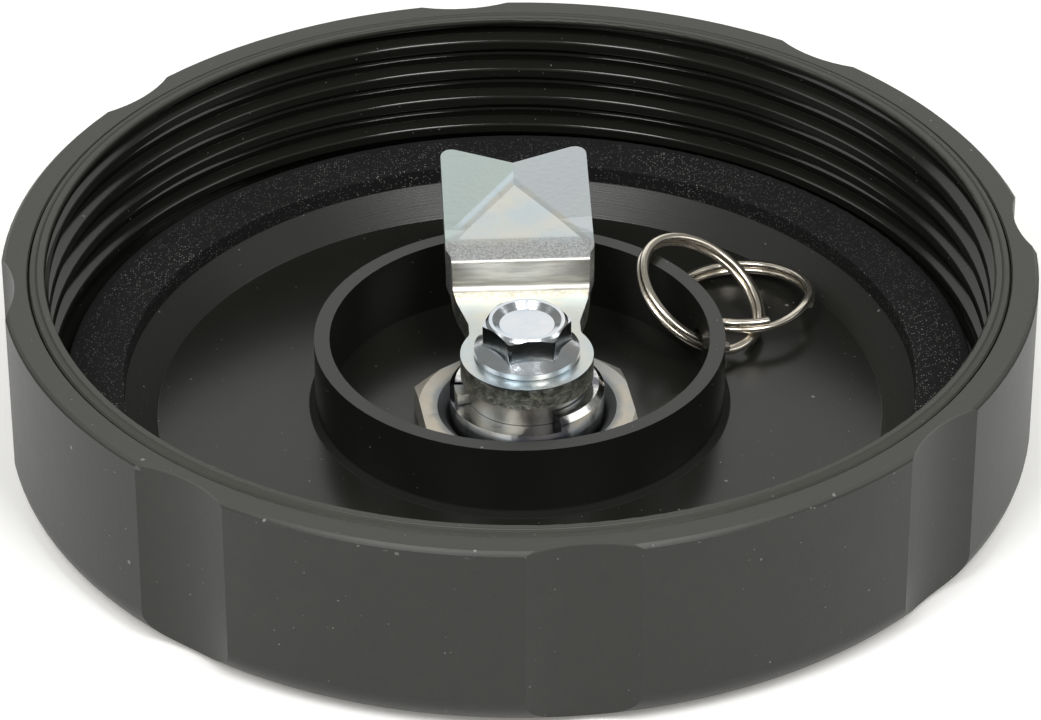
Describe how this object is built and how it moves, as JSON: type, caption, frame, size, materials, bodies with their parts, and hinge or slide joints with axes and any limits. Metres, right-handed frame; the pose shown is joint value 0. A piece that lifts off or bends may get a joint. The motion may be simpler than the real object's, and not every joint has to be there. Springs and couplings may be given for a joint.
{
  "type": "fuel filler cap",
  "caption": "Round screw-on fuel filler cap lying open side up: fluted skirt, internal thread, gasket, collar, cam lock with cranked latch and linked split rings.",
  "frame": {"origin": "centre of the outer face of the cap, on the plane that it lies on", "axes": "+Z along the cap's axis to its open side, +Y where the lock's cam points, +X to the right"},
  "size_m": [0.132, 0.132, 0.0263],
  "materials": {
    "cap_plastic": "moulded black plastic, satin outside and glossy inside",
    "gasket_rubber": "matte",
    "seal_rubber": "matte",
    "barrel_chrome": "bright plated",
    "plug_metal": "bright plated",
    "zinc_steel": "zinc plated, slightly bluish and yellowish",
    "bolt_steel": "bluish zinc plated",
    "ring_nickel": "nickel plated spring wire",
    "wafer_brass": "stamped",
    "spring_steel": "drawn wire"
  },
  "bodies": {
    "cap": {"cap_body": "cap_plastic", "gasket": "gasket_rubber", "lock_housing": "barrel_chrome", "housing_seal": "seal_rubber", "lock_nut": "zinc_steel"},
    "plug": {"lock_plug": "plug_metal", "plug_o_ring": "seal_rubber", "stop_disc": "zinc_steel", "cam": "zinc_steel", "cam_bolt": "bolt_steel", "wafer_spring_1": "spring_steel", "wafer_spring_2": "spring_steel", "wafer_spring_3": "spring_steel", "wafer_spring_4": "spring_steel"},
    "wafer_1": {"wafer_1": "wafer_brass"},
    "wafer_2": {"wafer_2": "wafer_brass"},
    "wafer_3": {"wafer_3": "wafer_brass"},
    "wafer_4": {"wafer_4": "wafer_brass"},
    "inner_ring": {"split_ring_inner": "ring_nickel"},
    "outer_ring": {"split_ring_outer": "ring_nickel"}
  },
  "joints": [
    {"name": "key_turn", "type": "hinge", "parent": "cap", "child": "plug", "pos_m": [0.00092, -0.00795, 0.01], "axis": [0, 0, 1], "range_deg": [0, 90]},
    {"name": "wafer_1_slide", "type": "slide", "parent": "plug", "child": "wafer_1", "axis": [0, 1, 0], "range_m": [0, 0.0008], "stiffness_N_per_m": 50, "springref_m": 0.0011},
    {"name": "wafer_2_slide", "type": "slide", "parent": "plug", "child": "wafer_2", "axis": [0, -1, 0], "range_m": [0, 0.0008], "stiffness_N_per_m": 50, "springref_m": 0.0011},
    {"name": "wafer_3_slide", "type": "slide", "parent": "plug", "child": "wafer_3", "axis": [0, 1, 0], "range_m": [0, 0.0008], "stiffness_N_per_m": 50, "springref_m": 0.0011},
    {"name": "wafer_4_slide", "type": "slide", "parent": "plug", "child": "wafer_4", "axis": [0, -1, 0], "range_m": [0, 0.0008], "stiffness_N_per_m": 50, "springref_m": 0.0011},
    {"name": "inner_ring_lift", "type": "hinge", "parent": "cap", "child": "inner_ring", "pos_m": [0.02432, 0.00727, 0.00741], "axis": [0.866, 0.1833, -0.4652], "range_deg": [0, 100]},
    {"name": "outer_ring_swing", "type": "hinge", "parent": "inner_ring", "child": "outer_ring", "pos_m": [0.03066, 0.01265, 0.00504], "axis": [0.4185, 0.9081, -0.0155], "range_deg": [0, 20]}
  ],
  "couplings": [
    {"joint": "wafer_2_slide", "follows": "wafer_1_slide", "ratio": 1},
    {"joint": "wafer_3_slide", "follows": "wafer_1_slide", "ratio": 1},
    {"joint": "wafer_4_slide", "follows": "wafer_1_slide", "ratio": 1}
  ]
}
